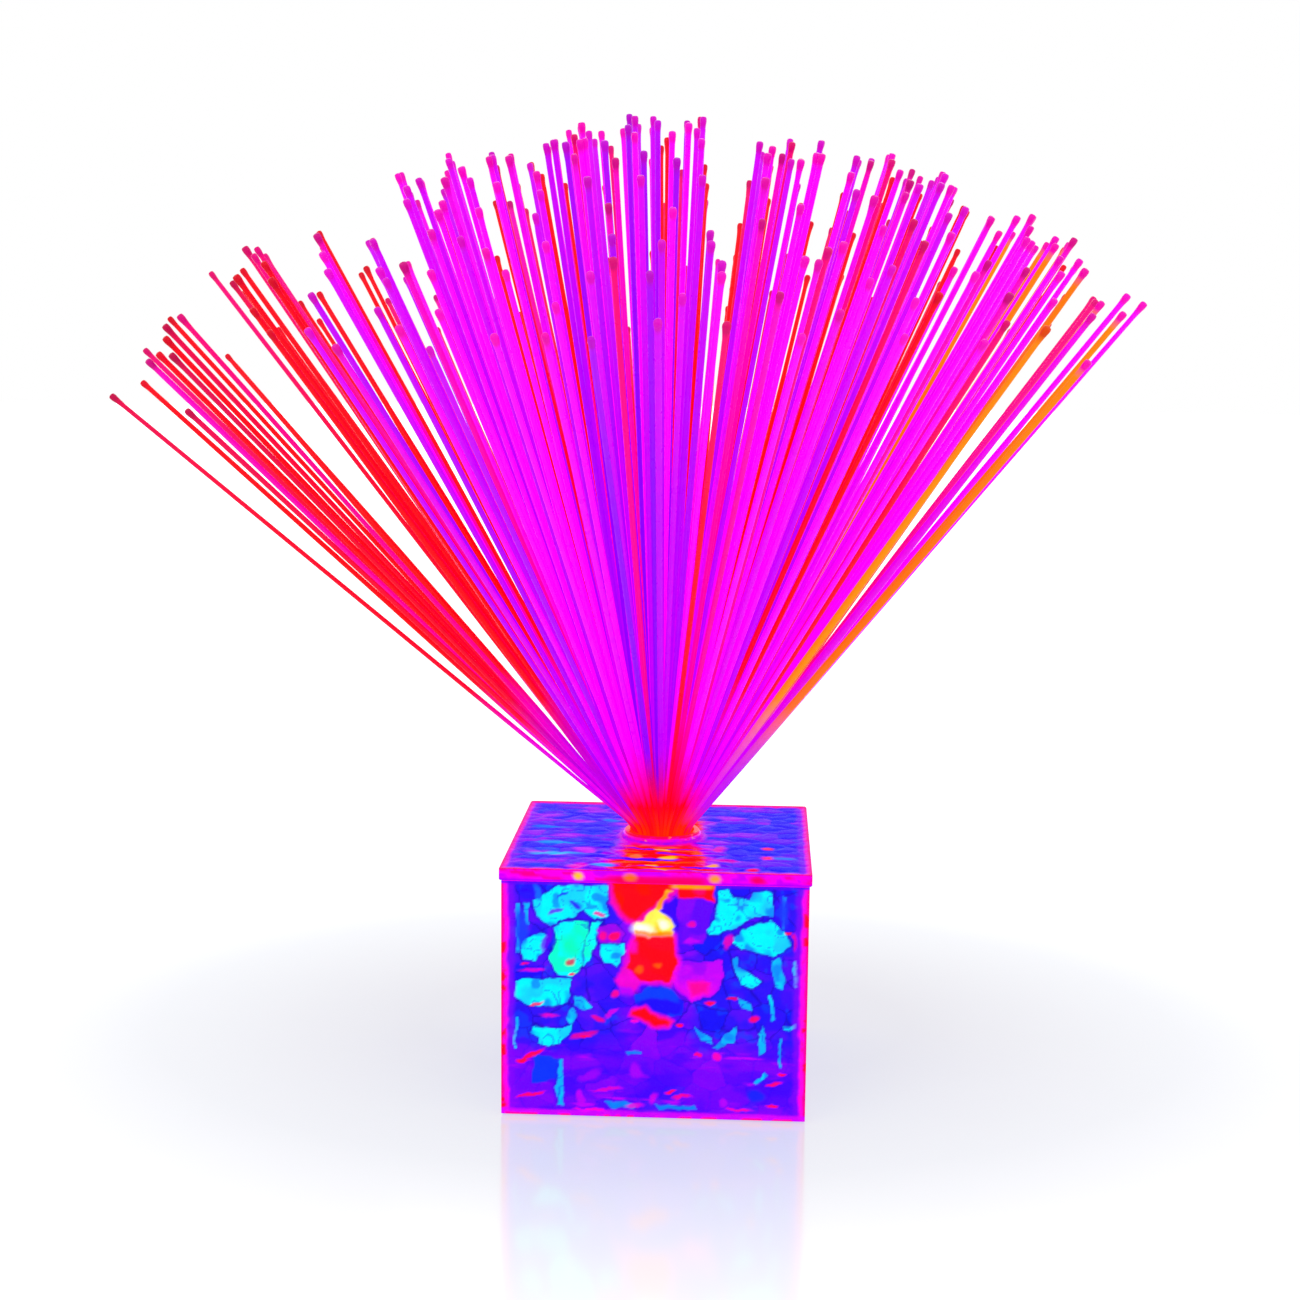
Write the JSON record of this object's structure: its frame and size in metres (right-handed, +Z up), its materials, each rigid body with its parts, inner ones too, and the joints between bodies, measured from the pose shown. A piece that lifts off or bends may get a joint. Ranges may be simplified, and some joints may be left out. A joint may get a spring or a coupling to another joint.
{
  "type": "fibre optic lamp",
  "caption": "Battery table lamp: a hammered glass box with a light inside and a fan of stiff end-lit fibres rising from a turning collar in its lid.",
  "frame": {"origin": "centre of the square footprint, on the surface that the lamp stands on", "axes": "+Z up; front towards -Y; +X to the right as seen from the front"},
  "size_m": [0.3414, 0.3411, 0.3263],
  "materials": {
    "glass": "hammered, tinted",
    "fibre": "smooth, clear, end-lit",
    "fibre_core": "potted, polished",
    "sealant": "cured clear silicone, tinted by the light",
    "black_plastic": "moulded, fine grain",
    "door_plastic": "moulded, fine grain",
    "white_plastic": "moulded",
    "knob_plastic": "moulded",
    "rubber": "soft, dull",
    "steel": "zinc plated",
    "contact_metal": "nickel plated",
    "switch_metal": "tinned",
    "collar_metal": "turned, bright",
    "cell_jacket": "plain sleeve",
    "board_laminate": "glass laminate, solder mask",
    "component": "fired, small",
    "wire": "sleeve",
    "led_lens": "moulded epoxy, clear",
    "light_cup": "translucent"
  },
  "bodies": {
    "base": {"base_tray": "black_plastic", "battery_box": "black_plastic", "battery_cells": "cell_jacket", "battery_leads": "wire", "board_components": "component", "board_screws": "steel", "circuit_board": "board_laminate", "contact_plates": "contact_metal", "contact_springs": "steel", "corner_seals": "sealant", "cover_screws": "steel", "driver_chip": "black_plastic", "glass_back": "glass", "glass_front": "glass", "glass_left": "glass", "glass_lid": "glass", "glass_right": "glass", "hole_grommet": "black_plastic", "led_holder": "white_plastic", "led_legs": "contact_metal", "led_lens": "led_lens", "led_plate": "board_laminate", "lid_seal": "sealant", "light_cup": "light_cup", "light_post": "white_plastic", "rubber_feet": "rubber", "switch_body": "switch_metal", "switch_leads": "wire", "tray_cover": "black_plastic"},
    "spray": {"fibres_centre": "fibre", "fibres_inner_back": "fibre", "fibres_inner_front": "fibre", "fibres_inner_left": "fibre", "fibres_inner_right": "fibre", "fibres_outer_back_left": "fibre", "fibres_outer_back_right": "fibre", "fibres_outer_front_left": "fibre", "fibres_outer_front_right": "fibre", "fibres_outer_left": "fibre", "fibres_outer_right": "fibre", "bundle_ferrule": "collar_metal", "bundle_core": "fibre_core"},
    "collar": {"turn_collar": "collar_metal", "collar_clip": "steel"},
    "battery_door": {"battery_door": "door_plastic"},
    "switch": {"switch_knob": "knob_plastic"}
  },
  "joints": [
    {"name": "collar_turn", "type": "hinge", "parent": "base", "child": "collar", "pos_m": [0, 0, 0.084], "axis": [0, 0, 1], "continuous": true},
    {"name": "spray_lift", "type": "slide", "parent": "collar", "child": "spray", "axis": [0, 0, 1], "range_m": [0, 0.015]},
    {"name": "battery_door_swing", "type": "hinge", "parent": "base", "child": "battery_door", "pos_m": [0, -0.0051, 0.00285], "axis": [-1, 0, 0], "range_deg": [0, 85]},
    {"name": "switch_slide", "type": "slide", "parent": "base", "child": "switch", "axis": [1, 0, 0], "range_m": [0, 0.004]}
  ]
}
